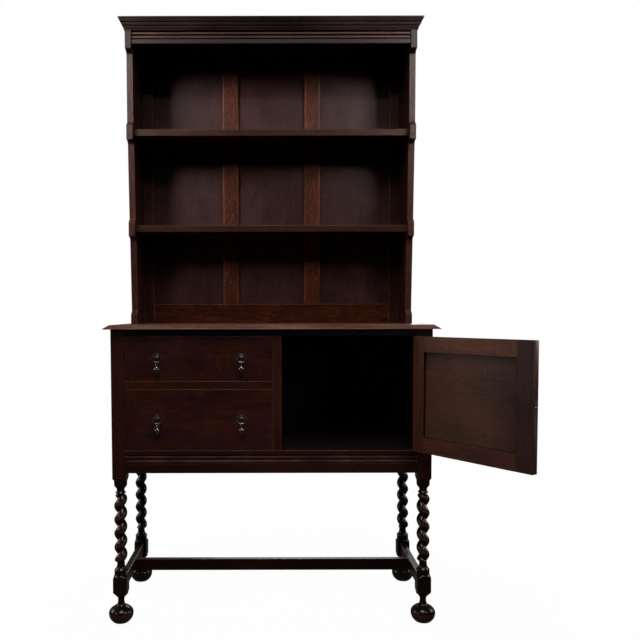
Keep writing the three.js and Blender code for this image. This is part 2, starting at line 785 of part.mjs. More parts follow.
// Framed back: uprights, two muntins with stepped edges and a bottom rail before one board
const frameBack = -rackBackBoard;
const frameFront = frameBack - rackFrame;
addBoard(rack, 'rack_back_board', 'oakPanel', [-rackInner, frameBack, 0], [rackInner, 0, rackTop]);
for (const [sideName, side] of [['left', -1], ['right', 1]]) {
  const xs = [side * rackInner, side * (rackInner - rackStile)];
  addBoard(
    rack, `rack_back_stile_${sideName}`, 'oak',
    [Math.min(...xs), frameFront, 0],
    [Math.max(...xs), frameBack, rackTop],
  );
}
addBoard(
  rack, 'rack_back_rail', 'oak',
  [rackStile - rackInner, frameFront, 0],
  [rackInner - rackStile, frameBack, rackRail],
);
const halfMuntin = rackMuntin / 2;
const muntinOutline = [
  [-halfMuntin, frameBack], [-halfMuntin, frameFront + muntinBeadDepth],
  [-halfMuntin + muntinBead, frameFront + muntinBeadDepth / 2], [-halfMuntin + muntinBead, frameFront],
  [halfMuntin - muntinBead, frameFront], [halfMuntin - muntinBead, frameFront + muntinBeadDepth / 2],
  [halfMuntin, frameFront + muntinBeadDepth], [halfMuntin, frameBack],
];
for (const [sideName, side] of [['left', -1], ['right', 1]]) {
  const muntin = addMesh(rack, `rack_muntin_${sideName}`, 'oak', extrude(muntinOutline, rackTop - rackRail));
  muntin.position.set(side * rackMuntinFromMiddle, 0, rackRail);
}

// Shelves, frieze and cornice
addBoard(
  rack, 'rack_shelf_lower', 'oak',
  [-rackInner, -lowerShelfDepth, lowerShelfLow],
  [rackInner, frameFront, lowerShelfLow + shelfThickness],
);
addBoard(
  rack, 'rack_shelf_upper', 'oak',
  [-rackInner, -upperShelfDepth, upperShelfLow],
  [rackInner, frameFront, upperShelfLow + shelfThickness],
);
const friezeSection = groovedSection(friezeHeight, friezeThickness, friezeShares, friezeHalfWidth, friezeGroove);
const frieze = addMesh(rack, 'rack_frieze', 'oak', alongX(friezeSection, rackInner * 2));
frieze.position.set(-rackInner, friezeSet - headDepth, friezeLow);
addMesh(rack, 'rack_cornice', 'oak', loft(corniceShares.map(([up, out]) => levelRing(
  rackWidth / 2 + out * corniceSideReach,
  -headDepth - out * corniceFrontReach,
  0,
  rackTop + up * corniceHeight,
))));

// Origin: middle of the whole object's outline on the floor, with the door standing open
dresser.updateMatrixWorld(true);
const outlineBox = new THREE.Box3().setFromObject(dresser, true);
const middle = outlineBox.getCenter(new THREE.Vector3());
dresser.position.set(-middle.x, -middle.y, -outlineBox.min.z);

export default dresser;
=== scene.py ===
import json
import math

import bmesh
import bpy
from mathutils import Matrix, Vector


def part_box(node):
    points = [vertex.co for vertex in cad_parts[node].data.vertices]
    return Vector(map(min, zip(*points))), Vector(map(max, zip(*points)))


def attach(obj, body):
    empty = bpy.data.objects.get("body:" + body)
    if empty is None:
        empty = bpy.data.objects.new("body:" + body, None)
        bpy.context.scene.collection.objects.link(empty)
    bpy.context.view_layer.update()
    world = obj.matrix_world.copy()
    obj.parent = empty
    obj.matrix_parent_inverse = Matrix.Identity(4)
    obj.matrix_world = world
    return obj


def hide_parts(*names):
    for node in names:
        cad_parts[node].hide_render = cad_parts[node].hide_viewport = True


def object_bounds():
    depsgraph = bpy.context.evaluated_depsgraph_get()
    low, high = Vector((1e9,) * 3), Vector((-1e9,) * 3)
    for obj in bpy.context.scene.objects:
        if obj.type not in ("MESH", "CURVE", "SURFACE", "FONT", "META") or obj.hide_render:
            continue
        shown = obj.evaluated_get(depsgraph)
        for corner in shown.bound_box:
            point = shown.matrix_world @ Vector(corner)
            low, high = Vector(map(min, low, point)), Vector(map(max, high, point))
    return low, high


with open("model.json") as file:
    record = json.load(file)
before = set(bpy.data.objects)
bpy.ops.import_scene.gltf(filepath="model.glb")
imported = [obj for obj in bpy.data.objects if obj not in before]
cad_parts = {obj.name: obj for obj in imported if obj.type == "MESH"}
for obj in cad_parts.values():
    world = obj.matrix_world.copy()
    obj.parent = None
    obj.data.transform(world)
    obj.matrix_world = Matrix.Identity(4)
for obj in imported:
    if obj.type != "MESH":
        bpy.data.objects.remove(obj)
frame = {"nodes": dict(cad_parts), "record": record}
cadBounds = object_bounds()
mm = 0.001
slotOf = {entry["node"]: entry["material_slot"] for entry in frame["record"]["subparts"]}

# case coordinates, as on a maker's drawing: X from the middle, Y from the posts' front, Z from the floor
topLow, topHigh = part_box("table_top")
caseX = (topLow.x + topHigh.x) / 2
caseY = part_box("rail_top")[0].y


def place(x, y, z):
    return Vector((caseX + x * mm, caseY + y * mm, z * mm))


print("frame loaded")


def hexColour(code):
    # sRGB hex to the linear colour that nodes take
    parts = [int(code[i:i + 2], 16) / 255 for i in (1, 3, 5)]
    linear = [p / 12.92 if p <= 0.04045 else ((p + 0.055) / 1.055) ** 2.4 for p in parts]
    return (*linear, 1.0)


def addNode(tree, kind, settings=None, links=None, out=0):
    node = tree.nodes.new("ShaderNode" + kind)
    for name, value in (settings or {}).items():
        if isinstance(name, str) and hasattr(node, name):
            setattr(node, name, value)
        else:
            node.inputs[name].default_value = value
    for name, source in (links or {}).items():
        tree.links.new(source, node.inputs[name])
    return node.outputs[out] if node.outputs else node


def pair(first, values):
    # the same for two neighbouring inputs of a node, such as the ends of a range
    return {first: values[0], first + 1: values[1]}


def newMaterial(name):
    material = bpy.data.materials.new(name)
    material.use_nodes = True
    material.node_tree.nodes.clear()
    return material, material.node_tree


# How strongly the figure shows, from 0 to 1: streaks, dashes, speckle, flecks, then pores and rings.
# What a row leaves out shows fully.
markKinds = ("streaks", "dashes", "speckle", "flecks", "pores", "rings")
boardMarks = (0.4, 0.45, 0.25, 0.2)
turnedMarks = (0.12, 0.06, 0.08, 0.05, 0.2)
mouldedMarks = (0.02, 0.02, 0.05, 0.02, 0.15, 0.3)
doorMarks = (0.3, 0.4, 0.4, 0.3)
# Oak, quarter sawn, fumed and stained nearly black, then waxed: what the eye gets is a red brown
# under a dull film, open pores along the grain, pale ray flecks across it and bare arrises.
# look: dark, middle and light of the wood, roughness, specular level, marks, and what else it has
oakLooks = {
    "frame": ("#160501", "#280b02", "#431906", 0.44, 0.16, boardMarks, {"worn": "#5e3623"}),
    "shelf": ("#190802", "#2d0f05", "#4a220f", 0.44, 0.16, boardMarks, {}),
    "stretcher": ("#090202", "#140504", "#4c2517", 0.38, 0.12, turnedMarks, {}),
    "leg": ("#090202", "#140504", "#4b2c20", 0.25, 0.19, turnedMarks, {}),
    # back legs: the leg's colours darkened as painted shade for the back of the stand
    "backLeg": ("#050101", "#0d0303", "#3a2118", 0.25, 0.19, turnedMarks, {}),
    "backRail": ("#150501", "#290c03", "#592710", 0.44, 0.08, (0.5, 0.5, 0.3, 0.2), {}),
    "muntin": ("#1c0803", "#351305", "#612e19", 0.46, 0.14, (0.35, 0.75, 0.3, 0.1), {}),
    "cornice": ("#201111", "#2e1d1d", "#574240", 0.42, 0.19, (0.01, 0.01, 0.04, 0.02, 0.15, 0.3), {}),
    "frieze": ("#140603", "#1f0b06", "#41231a", 0.42, 0.19, mouldedMarks, {}),
    "lowRail": ("#160603", "#210a03", "#431f0e", 0.44, 0.14, mouldedMarks, {"worn": "#4a3029"}),
    # side: lightened to paint the light its front edges catch, with painted shade darkening it toward the top
    "side": ("#261009", "#3c1c15", "#653e2d", 0.42, 0.19, (0.35, 0.4, 0.25, 0.1),
             {"paintedShade": ("Z", 0.4, 0.95, 0.7, "#181112")}),
    "front": ("#150603", "#260a03", "#431b07", 0.44, 0.14, (0.3, 0.4, 0.4, 0.8),
              {"bloom": "#1e0a0e", "worn": "#583224"}),
    "panel": ("#1d0a08", "#2a110e", "#3c1e19", 0.44, 0.16, (0.3, 0.15, 0.7, 0.5), {"bloom": "#351c1d"}),
    "sideFace": ("#28100d", "#3c1d1a", "#5c352c", 0.4, 0.3, (0.3, 0.2, 0.3, 0.4), {}),
    # top: its light tone is partly a painted highlight along the front edge
    "top": ("#391e19", "#5a382c", "#876554", 0.38, 0.22, (0.4, 0.3, 0.3, 0.3), {}),
    # inside: near-black painted shade, for the inside of the case, the rail under the top and the corners of the
    # door's panel recess
    "inside": ("#070303", "#0c0604", "#140b07", 0.6, 0.12, (0.4, 0.2, 0.2, 0.1), {}),
    "lining": ("#2d1c10", "#48301d", "#62442c", 0.68, 0.12, (0.5, 0.3, 0.2, 0.1), {}),
    "doorFrame": ("#2e130a", "#452115", "#62392c", 0.48, 0.16, doorMarks, {}),
    "doorRail": ("#371b0e", "#512c1c", "#724a36", 0.48, 0.16, doorMarks, {}),
    # door edge: the lock stile's purplish grey tone is partly painted sheen
    "doorEdge": ("#1f0b0b", "#2f1314", "#492625", 0.46, 0.19, (0.3, 0.4, 0.4, 0.2), {}),
    # door panel: painted shade darkens it toward the lock stile
    "doorPanel": ("#351f14", "#412719", "#5e412e", 0.5, 0.16, (0.2, 0.1, 0.5, 0.6, 0.6),
                  {"paintedShade": ("X", 0.68, 0.96, 0.75, "#260f12"), "bloom": "#4f2f22"}),
}
# Figure of the wood: mm across and along the grain, detail, roughness, distortion, low and high end read.
# Real pores are 0.3 mm wide and real streaks 0.5 mm; they are drawn coarser so that they show.
figure = {
    "rings": (17, 260, 3, 0.55, 0.6, 0.36, 0.66),
    "streaks": (5, 70, 3, 0.6, 0.3, 0.46, 0.74),
    "dashes": (4.2, 22, 2, 0.55, 0.4, 0.5, 0.66),
    "speckle": (4.5, 7, 3, 0.6, 0.0, 0.5, 0.68),
    "pores": (1.4, 14, 2, 0.5, 0.0, 0.56, 0.68),
    "flecks": (18, 3.8, 2, 0.5, 1.4, 0.54, 0.66),
    "cloud": (110, 176, 3, 0.55, 0.0, 0.3, 0.7),
    "patches": (44, 60, 2, 0.5, 0.0, 0.38, 0.62),
    "bloom": (70, 90, 2, 0.5, 0.3, 0.42, 0.62),
}
# how the figure acts on colour, gloss and relief; pairs are the values where a mark is absent and full
finish = {
    "bloomShare": 0.6, "poreShade": (1.0, 0.55), "cloudShade": (0.74, 1.22), "rubbedShare": (0.25, 0.8),
    "poreDull": (-0.04, 0.16), "smear": (-0.04, 0.05), "ridge": 0.3, "relief": 0.5, "poreDepth": 0.12,
    "shiftAcross": (0.7, 1.3),  # how far a shift along the grain also moves the figure across it
}


def oakMaterial(look, along, turn=0.0, shift=0.0):
    name = f"fumed_waxed_oak_{look}_{along}_{int(turn)}_{int(shift * 10)}"
    if name in bpy.data.materials:
        return bpy.data.materials[name]
    dark, middle, light, roughness, specular, shows, others = oakLooks[look]
    strengths = dict(zip(markKinds, shows))
    material, tree = newMaterial(name)
    where = addNode(tree, "TexCoord", out="Object")
    # turned so that the first axis runs along the grain
    angles = {"x": (0, 0, -math.radians(turn)), "y": (0, 0, -math.pi / 2), "z": (0, math.pi / 2, 0)}[along]
    moved = (shift, *(shift * share for share in finish["shiftAcross"]))
    aligned = addNode(tree, "Mapping", {"vector_type": "POINT", "Rotation": angles, "Location": moved},
                      {"Vector": where})
    marks = {}
    for kind, (across, length, detail, fineness, distortion, low, high) in figure.items():
        scale = (1 / (length * mm), 1 / (across * mm), 1 / (across * mm))
        stretched = addNode(tree, "Mapping", {"Scale": scale}, {"Vector": aligned})
        noise = addNode(tree, "TexNoise", {
            "Scale": 1.0, "Detail": detail, "Roughness": fineness, "Distortion": distortion}, {"Vector": stretched})
        marks[kind] = addNode(tree, "MapRange", {1: low, 2: high, 4: strengths.get(kind, 1.0)}, {0: noise})
    # ray flecks come and go in patches
    marks["flecks"] = addNode(tree, "Math", {"operation": "MULTIPLY"}, {0: marks["flecks"], 1: marks["patches"]})

    colour = addNode(tree, "Mix", {"data_type": "RGBA", 6: hexColour(dark), 7: hexColour(middle)},
                     {0: marks["rings"]}, 2)
    layers = [(marks[kind], light) for kind in ("streaks", "dashes", "speckle", "flecks")]
    # wax gone cloudy over some of the boards
    bloomed = addNode(tree, "Math", {"operation": "MULTIPLY", 1: finish["bloomShare"]}, {0: marks["bloom"]})
    layers.append((bloomed, others.get("bloom", middle)))
    if "paintedShade" in others:  # painted shade: the board is made darker toward one end
        axis, near, far, share, tone = others["paintedShade"]
        spread = addNode(tree, "TexCoord", out="Generated")
        reach = addNode(tree, "SeparateXYZ", {}, {"Vector": spread}, axis)
        layers.append((addNode(tree, "MapRange", {1: near, 2: far, 4: share}, {0: reach}), tone))
    for amount, tone in layers:
        colour = addNode(tree, "Mix", {"data_type": "RGBA", 7: hexColour(tone)}, {0: amount, 6: colour}, 2)
    poreShade = addNode(tree, "MapRange", pair(3, finish["poreShade"]), {0: marks["pores"]})
    cloudShade = addNode(tree, "MapRange", pair(3, finish["cloudShade"]), {0: marks["cloud"]})
    shade = addNode(tree, "Math", {"operation": "MULTIPLY"}, {0: poreShade, 1: cloudShade})
    colour = addNode(tree, "VectorMath", {"operation": "SCALE"}, {0: colour, "Scale": shade})
    # arrises rubbed by hands and dusters, and painted highlights on the muntins' beads and on the legs' twist and buns
    wearAndSheen = addNode(tree, "Attribute", {"attribute_name": "wearAndSheen"}, out="Fac")
    rubbed = addNode(tree, "MapRange", pair(3, finish["rubbedShare"]), {0: marks["patches"]})
    worn = addNode(tree, "Math", {"operation": "MULTIPLY"}, {0: wearAndSheen, 1: rubbed})
    colour = addNode(tree, "Mix", {"data_type": "RGBA", 7: hexColour(others.get("worn", light))},
                     {0: worn, 6: colour}, 2)

    dullness = [roughness + change for change in finish["poreDull"]]
    dull = addNode(tree, "MapRange", pair(3, dullness), {0: marks["pores"]})
    smears = addNode(tree, "MapRange", pair(3, finish["smear"]), {0: marks["cloud"]})
    rough = addNode(tree, "Math", {"operation": "ADD"}, {0: dull, 1: smears})
    ridges = addNode(tree, "MapRange", {4: finish["ridge"]}, {0: marks["dashes"]})
    height = addNode(tree, "Math", {"operation": "SUBTRACT"}, {0: ridges, 1: marks["pores"]})
    bump = addNode(tree, "Bump", {"Strength": finish["relief"], "Distance": finish["poreDepth"] * mm},
                   {"Height": height})
    surface = addNode(tree, "BsdfPrincipled", {"IOR": 1.5, "Specular IOR Level": specular},
                      {"Base Color": colour, "Roughness": rough, "Normal": bump})
    addNode(tree, "OutputMaterial", {}, {"Surface": surface})
    return material


# Brass, cast or pressed and left to oxidise brown: rubbed metal on the crests, brown in the hollows.
# look: dark, middle and rubbed metal, roughness, mm across the stains
brassLooks = {
    "pull": ("#241412", "#46302a", "#a4a09c", 0.15, 5),
    "backing": ("#2a1b17", "#473731", "#8b796f", 0.36, 4),
    "hinge": ("#2b2012", "#594629", "#988051", 0.42, 7),
    "plate": ("#0c0907", "#19130f", "#2b221a", 0.5, 6),
    "ball": ("#675b45", "#95866a", "#c4b38e", 0.25, 6),
}
brassFinish = {
    "metallic": 0.9, "scratch": 0.8, "scratchDepth": 0.05, "relief": 0.3, "stainRange": (0.35, 0.65),
    "bareRange": (0.3, 0.6), "bareShare": (0.3, 0.9), "scratchRange": (0.3, 0.7), "scratchDull": (-0.06, 0.1),
    "crestRange": (0.5, 0.6),  # pointiness where rubbing starts and where it is full
}


def brassMaterial(look):
    name = f"oxidised_cast_brass_{look}"
    if name in bpy.data.materials:
        return bpy.data.materials[name]
    dark, middle, bright, roughness, spot = brassLooks[look]
    material, tree = newMaterial(name)
    where = addNode(tree, "TexCoord", out="Object")
    spots = addNode(tree, "TexNoise", {"Scale": 1 / (spot * mm), "Detail": 5, "Roughness": 0.65},
                    {"Vector": where})
    scratches = addNode(tree, "TexNoise", {"Scale": 1 / (brassFinish["scratch"] * mm), "Detail": 2, "Roughness": 0.6},
                        {"Vector": where})
    crest = addNode(tree, "NewGeometry", out="Pointiness")
    stain = addNode(tree, "MapRange", pair(1, brassFinish["stainRange"]), {0: spots})
    colour = addNode(tree, "Mix", {"data_type": "RGBA", 6: hexColour(dark), 7: hexColour(middle)}, {0: stain}, 2)
    bare = addNode(tree, "MapRange", {**pair(1, brassFinish["bareRange"]), **pair(3, brassFinish["bareShare"])},
                   {0: spots})
    rubbed = addNode(tree, "MapRange", pair(1, brassFinish["crestRange"]), {0: crest, 4: bare})
    colour = addNode(tree, "Mix", {"data_type": "RGBA", 7: hexColour(bright)}, {0: rubbed, 6: colour}, 2)
    dullness = [roughness + change for change in brassFinish["scratchDull"]]
    rough = addNode(tree, "MapRange", {**pair(1, brassFinish["scratchRange"]), **pair(3, dullness)}, {0: scratches})
    bump = addNode(tree, "Bump", {"Strength": brassFinish["relief"], "Distance": brassFinish["scratchDepth"] * mm},
                   {"Height": scratches})
    surface = addNode(tree, "BsdfPrincipled", {"Metallic": brassFinish["metallic"]},
                      {"Base Color": colour, "Roughness": rough, "Normal": bump})
    addNode(tree, "OutputMaterial", {}, {"Surface": surface})
    return material


print("materials ready")


def showMesh(name, mesh, body, slot):
    piece = bpy.data.objects.new(name, mesh)
    bpy.context.scene.collection.objects.link(piece)
    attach(piece, body)
    return piece


def newPiece(name, vertices, faces, material, body, slot, smoothBelow=None):
    mesh = bpy.data.meshes.new(name)
    mesh.from_pydata([tuple(v) for v in vertices], [], faces)
    mesh.update()
    if smoothBelow is not None:  # degrees between faces up to which they shade as one
        mesh.shade_smooth()
        mesh.set_sharp_from_angle(angle=math.radians(smoothBelow))
    mesh.materials.append(material)
    return showMesh(name, mesh, body, slot)


def ringFaces(count, sides):
    # faces between rings of points, with a cap at each end
    faces = []
    for row in range(count - 1):
        for side in range(sides):
            here, there = row * sides + side, row * sides + (side + 1) % sides
            faces.append((here, there, there + sides, here + sides))
    faces.append(tuple(range(sides - 1, -1, -1)))
    faces.append(tuple(range((count - 1) * sides, count * sides)))
    return faces


def fixNormals(piece):
    work = bmesh.new()
    work.from_mesh(piece.data)
    bmesh.ops.recalc_face_normals(work, faces=work.faces[:])
    work.to_mesh(piece.data)
    work.free()


def markWearAndSheen(piece, domain, values):
    # how far each point or face is rubbed bare or carries a painted highlight, from 0 to 1
    wearAndSheen = piece.data.attributes.new("wearAndSheen", "FLOAT", domain)
    wearAndSheen.data.foreach_set("value", values)


facingSquarely, facingPartly = 0.9, 0.5  # how far a face's normal agrees with a direction


def chooseMaterials(piece, others, choose):
    # choose says for each face which material it takes: 0 is the first one, then come the others
    for material in others:
        piece.data.materials.append(material)
    for polygon in piece.data.polygons:
        polygon.material_index = choose(polygon)


softEdge = {"segments": 2, "sharpOver": 25, "joinWithin": 0.004, "flatWithin": 1}  # degrees and mm


def softenMesh(mesh, radius):
    # one solid with coplanar faces joined and its arrises eased, the eased faces marked as worn
    work = bmesh.new()
    work.from_mesh(mesh)
    bmesh.ops.remove_doubles(work, verts=work.verts[:], dist=softEdge["joinWithin"] * mm)
    bmesh.ops.dissolve_limit(work, angle_limit=math.radians(softEdge["flatWithin"]), verts=work.verts[:],
                             edges=work.edges[:])
    wearAndSheen = work.faces.layers.float.new("wearAndSheen")
    sharp = [e for e in work.edges if e.is_manifold and e.calc_face_angle() > math.radians(softEdge["sharpOver"])]
    made = bmesh.ops.bevel(work, geom=sharp, offset=radius * mm, segments=softEdge["segments"], profile=0.5,
                           affect="EDGES", clamp_overlap=True)
    for face in made["faces"]:
        face[wearAndSheen] = 1.0
    work.to_mesh(mesh)
    work.free()


def softCopy(node, material, body, slot, radius):
    mesh = frame["nodes"][node].data.copy()
    softenMesh(mesh, radius)
    mesh.materials.clear()
    mesh.materials.append(material)
    piece = showMesh(node + "_eased", mesh, body, slot)
    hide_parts(node)
    return piece


# Boards that keep their solid's shape, with eased arrises: look, grain, arris radius
caseBoards = {
    # the front rail under the table top is given the near-black inside look as painted shadow of the top's overhang
    "rail_top": ("inside", "x", 0.8), "rail_divider": ("frame", "x", 1.0), "stile_centre": ("frame", "z", 1.0),
    "stretcher_left": ("stretcher", "y", 1.4), "stretcher_right": ("stretcher", "y", 1.4),
    "stretcher_cross": ("stretcher", "x", 1.4),
    "end_panel_left": ("panel", "z", 0.6), "end_panel_right": ("panel", "z", 0.6),
    "case_back": ("inside", "x", 0.5), "partition": ("inside", "z", 0.5),
    "case_floor": ("inside", "x", 0.8), "dust_board": ("inside", "x", 0.5),
    "table_top": ("top", "x", 0.6),
    "rack_back_board": ("panel", "z", 0.5),
    "rack_back_stile_left": ("frame", "z", 2.4), "rack_back_stile_right": ("frame", "z", 2.4),
    "rack_back_rail": ("backRail", "x", 1.2),
    "rack_shelf_lower": ("shelf", "x", 1.2), "rack_shelf_upper": ("shelf", "x", 1.2),
}
# no two neighbours show the same stretch of figure
grainShift = {"boardStep": 0.4, "boardsBeforeRepeat": 7, "caseBack": 1.3, "door": 0.3, "doorOutside": 0.7}
for index, (node, (look, along, radius)) in enumerate(caseBoards.items()):
    shift = (index % grainShift["boardsBeforeRepeat"]) * grainShift["boardStep"]
    board = softCopy(node, oakMaterial(look, along, 0, shift), "case", slotOf[node], radius)
    if node == "case_back":  # stained on the side that faces the wall; the inner side is near-black painted shade
        chooseMaterials(board, [oakMaterial("frame", along, 0, grainShift["caseBack"])],
                        lambda face: 1 if face.normal.y > facingPartly else 0)

drawerBoards = {
    "front": ("front", "x", 1.2), "side_left": ("lining", "y", 0.5), "side_right": ("lining", "y", 0.5),
    "back": ("lining", "x", 0.5), "bottom": ("lining", "x", 0.5),
}
for drawer, frontShift in (("drawer_upper", 0.5), ("drawer_lower", 1.1)):
    for part, (look, along, radius) in drawerBoards.items():
        node = f"{drawer}_{part}"
        shift = frontShift if part == "front" else 0
        softCopy(node, oakMaterial(look, along, 0, shift), drawer, slotOf[node], radius)

# the door stands turned about its hinge pin: mm from there, in the door's own directions
door = {"turn": 126, "pin": (437.25, -3.2), "width": 406, "front": 3.2, "handleInset": 24.5}
doorBoards = {
    "door_stile_hinge": ("doorFrame", "z", 1.0), "door_stile_lock": ("doorEdge", "z", 0.7),
    "door_rail_top": ("doorRail", "x", 1.0), "door_rail_bottom": ("doorFrame", "x", 1.0),
    "door_panel": ("doorPanel", "x", 0.5),
}
doorPin = place(*door["pin"], 0)
doorSpin = Matrix.Rotation(math.radians(door["turn"]), 4, "Z")
doorAlong = doorSpin @ Vector((-1, 0, 0))
doorOut = doorSpin @ Vector((0, -1, 0))
doorMiddle = (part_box("door_panel")[0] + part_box("door_panel")[1]) / 2


def doorPoint(x, y, z):
    return doorPin + doorSpin @ (Vector((x, y, z)) * mm)


def addDoorBoard(node, look, along, radius):
    turn = door["turn"] if along == "x" else 0
    isPanel = node == "door_panel"
    board = softCopy(node, oakMaterial(look, along, turn, grainShift["door"]), "door", slotOf[node], radius)
    # the faces in the panel's recess get near-black painted shadow
    corner = oakMaterial("inside", along)
    outside = oakMaterial("front" if isPanel else "frame", along, turn, grainShift["doorOutside"])

    def choose(face):
        onEdge = max(abs(face.normal.dot(doorAlong)), abs(face.normal.z)) > facingSquarely
        inward = not isPanel and (doorMiddle - face.center).dot(face.normal) > 0
        if onEdge and inward:  # painted shadow: the frame's faces toward the panel, in its recess, take the near-black inside look
            return 1
        # the outer face and edges are as dark as the drawers
        return 2 if onEdge or face.normal.dot(doorOut) > facingPartly else 0

    chooseMaterials(board, [corner, outside], choose)


for node, (look, along, radius) in doorBoards.items():
    addDoorBoard(node, look, along, radius)
print("boards eased")


# Legs: square stock, turned and twisted, as smooth rings. Sizes in mm, phases in turns of the twist.
leg = {
    "fromMiddle": 459, "frontAxis": 21, "backAxis": 366, "halfPost": 21, "top": 894, "bunHeight": 56,
    "bunRadius": 37.4, "ankleHeight": 40, "ankleRadius": 9.5, "blockHeight": 45, "drumHeight": 42,
    "drumRadius": 19.4, "cushionHeight": 44, "cushionRadius": 20.2, "twistHeight": 213, "twistTurns": 5,
    "twistRadius": 14.3, "twistOffset": 5.4, "twistEnd": 11.6, "stepsPerTurn": 24, "ease": 0.04,
    "leftPhase": 0.42, "rightPhase": 0.98, "backPhase": 0.25, "grainShift": 0.6, "smoothBelow": 38,
    "splay": 3.2, "postFrom": 446,  # below postFrom the leg leans out, above it the wood is as dull as the rails
    "crestFrom": 0.6, "bunSheenAndWear": 0.5, "bunSheenAndWearUpTo": 0.6,
}
# share of the section's height, share of the way out
bunProfile = [(0, 0.61), (0.03, 0.67), (0.09, 0.76), (0.16, 0.85), (0.25, 0.925), (0.37, 0.98), (0.5, 1),
              (0.6, 0.965), (0.7, 0.87), (0.78, 0.74), (0.84, 0.6), (0.885, 0.47), (0.92, 0.38), (1, 0.3)]
ankleProfile = [(0.15, 0.02), (0.3, 0), (0.42, 0.02), (0.52, 0.13), (0.64, 0.33), (0.76, 0.57), (0.88, 0.82),
                (1, 1)]
drumProfile = [(0.03, 1.16), (0.07, 1.08), (0.11, 1.02), (0.14, 0.93), (0.17, 0.93), (0.19, 1), (0.23, 1.04),
               (0.29, 1.03), (0.32, 0.94), (0.35, 0.94), (0.37, 1), (0.41, 1.03), (0.46, 1.03), (0.51, 0.99),
               (0.56, 0.9), (0.62, 0.78), (0.7, 0.68), (0.8, 0.62), (0.9, 0.6)]
cushionProfile = [(0.03, 0.74), (0.08, 0.77), (0.13, 0.68), (0.18, 0.6), (0.24, 0.57), (0.31, 0.58),
                  (0.37, 0.64), (0.43, 0.74), (0.49, 0.85), (0.55, 0.94), (0.62, 0.975), (0.75, 0.985),
                  (0.88, 0.99), (0.93, 1.03), (0.96, 1.12)]
# mm from the joint, share of the stock's corner that is left
blockFoot = [(1.5, 1)]
blockShoulder = [(-3, 1), (-1.2, 0.93), (0.2, 0.82)]
postShoulder = [(1, 0.86), (2.4, 0.94), (3.6, 1)]
ringAngles = [math.radians(base + quarter * 90) for quarter in range(4)
              for base in (-43.4, -37, -29, -20.5, -12, -4, 4, 12, 20.5, 29, 37, 43.4)]


def legRows():
    # rings from the floor up: height, radius, offset of the twist, turns so far
    corner = leg["halfPost"] * math.sqrt(2)
    rows = []

    def turned(base, height, profile, inner, outer):
        for up, out in profile:
            rows.append((base + up * height, inner + (outer - inner) * out, 0, 0))

    def squared(base, profile):
        for up, share in profile:
            rows.append((base + up, corner * share, 0, 0))

    blockLow = leg["bunHeight"] + leg["ankleHeight"]
    blockTop = blockLow + leg["blockHeight"]
    twistLow = blockTop + leg["drumHeight"]
    twistTop = twistLow + leg["twistHeight"]
    turned(0, leg["bunHeight"], bunProfile, 0, leg["bunRadius"])
    turned(leg["bunHeight"], leg["ankleHeight"], ankleProfile, leg["ankleRadius"], corner)
    squared(blockLow, blockFoot)
    squared(blockTop, blockShoulder)
    turned(blockTop, leg["drumHeight"], drumProfile, 0, leg["drumRadius"])
    steps = round(leg["twistTurns"] * leg["stepsPerTurn"])
    for step in range(steps + 1):
        share = step / steps
        rise = min(1, share / leg["ease"], (1 - share) / leg["ease"])
        rise = rise * rise * (3 - 2 * rise)  # the twist swells smoothly out of its plain ends
        rows.append((twistLow + share * leg["twistHeight"],
                     leg["twistEnd"] + (leg["twistRadius"] - leg["twistEnd"]) * rise,
                     leg["twistOffset"] * rise, share * leg["twistTurns"]))
    turned(twistTop, leg["cushionHeight"], cushionProfile, 0, leg["cushionRadius"])
    squared(twistTop + leg["cushionHeight"], postShoulder)
    rows.append((leg["top"], corner, 0, 0))
    return rows


def addLeg(name, x, y, hand, phase, look):
    vertices, rubbed = [], []
    rows = legRows()
    for z, radius, offset, turn in rows:
        toward = 2 * math.pi * (turn + phase)
        onBun = z < leg["bunHeight"]
        # old frames spread a little at the feet
        spread = -hand * leg["splay"] * max(0.0, 1 - z / leg["postFrom"])
        for angle in ringAngles:
            # each strand of the twist is round on the outside and meets the next in a sharp valley
            outward = hand * math.cos(angle) * math.cos(toward) + math.sin(angle) * math.sin(toward)
            lobe = radius + offset * (2 * math.sqrt(max(0.0, (1 + outward) / 2)) - 1)
            flat = leg["halfPost"] / max(abs(math.cos(angle)), abs(math.sin(angle)))
            reach = radius if onBun else min(lobe, flat)
            vertices.append(place(x + spread + reach * math.cos(angle), y + reach * math.sin(angle), z))
            # the outside of each turn of the twist is rubbed, and the lower part of the bun a little; both also carry
            # painted sheen in the leg's light colour
            crest = max(0.0, outward - leg["crestFrom"]) / (1 - leg["crestFrom"]) * offset / leg["twistOffset"]
            rubbed.append(max(crest, leg["bunSheenAndWear"] if z < leg["bunHeight"] * leg["bunSheenAndWearUpTo"] else 0.0))
    shift = leg["grainShift"]
    piece = newPiece(name + "_turned", vertices, ringFaces(len(rows), len(ringAngles)),
                     oakMaterial(look, "z", 0, shift), "case", "oak", leg["smoothBelow"])
    markWearAndSheen(piece, "POINT", rubbed)
    chooseMaterials(piece, [oakMaterial("frame", "z", 0, shift)],
                    lambda face: 1 if face.center.z > leg["postFrom"] * mm else 0)
    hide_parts(name)


for sideName, side in (("left", -1), ("right", 1)):
    # the back legs take a darker copy of the leg's look as painted shade
    for endName, look, y, further in (("front", "leg", leg["frontAxis"], 0),
                                      ("back", "backLeg", leg["backAxis"], leg["backPhase"])):
        addLeg(f"leg_{endName}_{sideName}", side * leg["fromMiddle"], y, -side,
               leg[sideName + "Phase"] + further, look)
print("legs turned")


